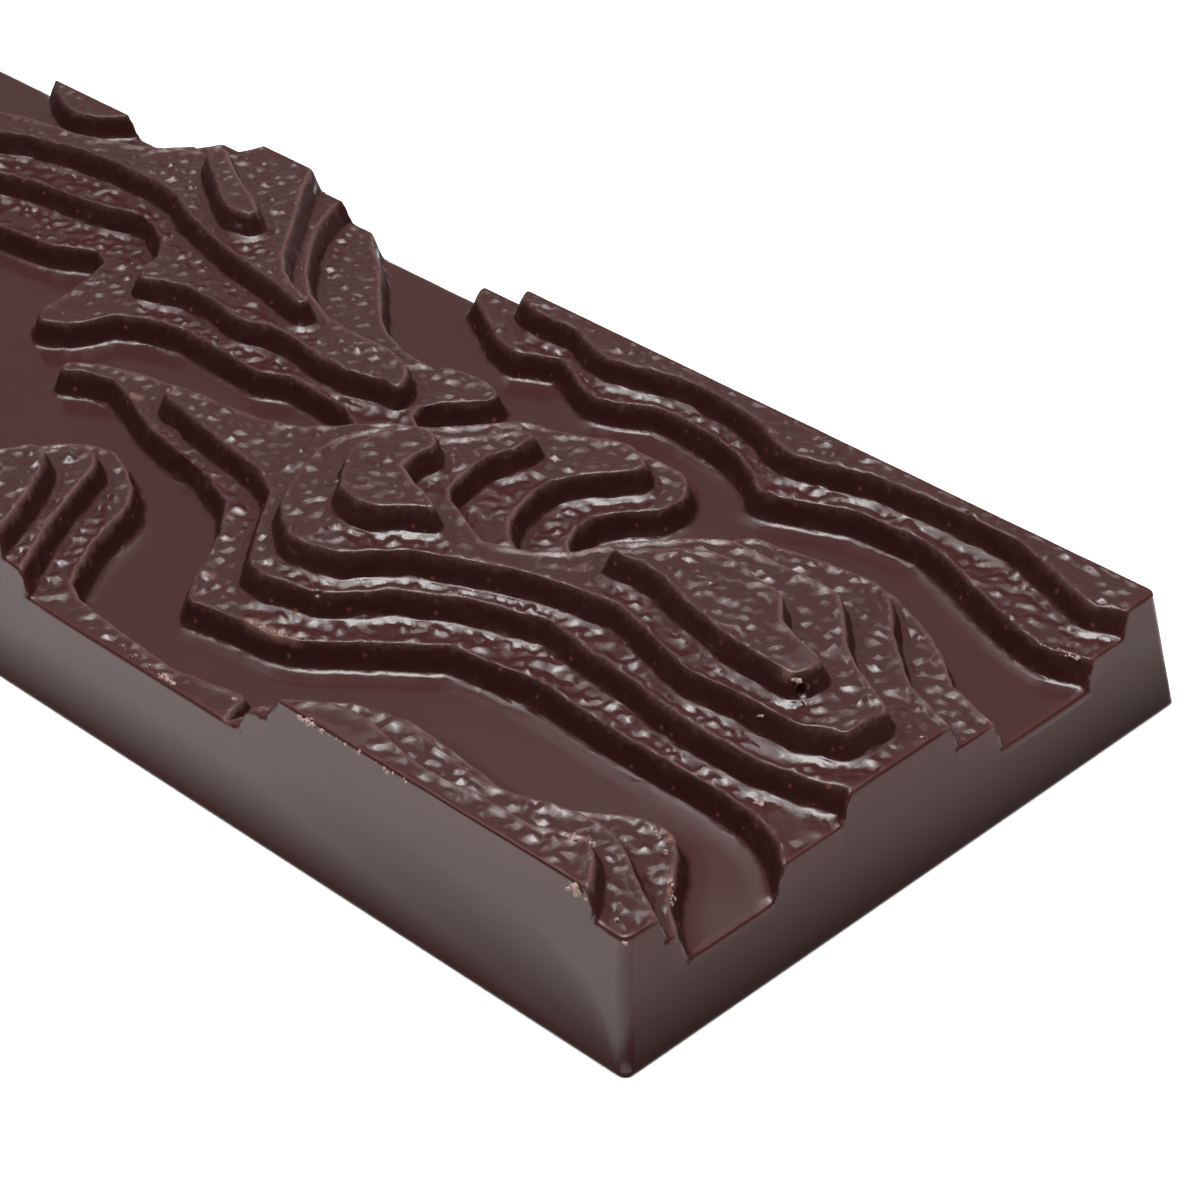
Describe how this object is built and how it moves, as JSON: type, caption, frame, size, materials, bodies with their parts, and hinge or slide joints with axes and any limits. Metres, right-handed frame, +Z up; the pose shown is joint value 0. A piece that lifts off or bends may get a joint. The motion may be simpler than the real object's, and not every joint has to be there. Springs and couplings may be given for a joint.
{
  "type": "chocolate bar",
  "caption": "Dark chocolate bar cast in one piece, with drafted sides and a face of stepped, flat-topped terraces over a smooth floor.",
  "frame": {"origin": "middle of the flat underside, at the level of the surface that the bar lies on", "axes": "+X along the bar towards the short end seen in front, +Y across it away from the long side seen in front, +Z up through the relief"},
  "size_m": [0.155, 0.06, 0.0142],
  "materials": {
    "chocolate": "satin dark chocolate"
  },
  "bodies": {
    "root": {"chocolate_bar": "chocolate"}
  },
  "joints": []
}
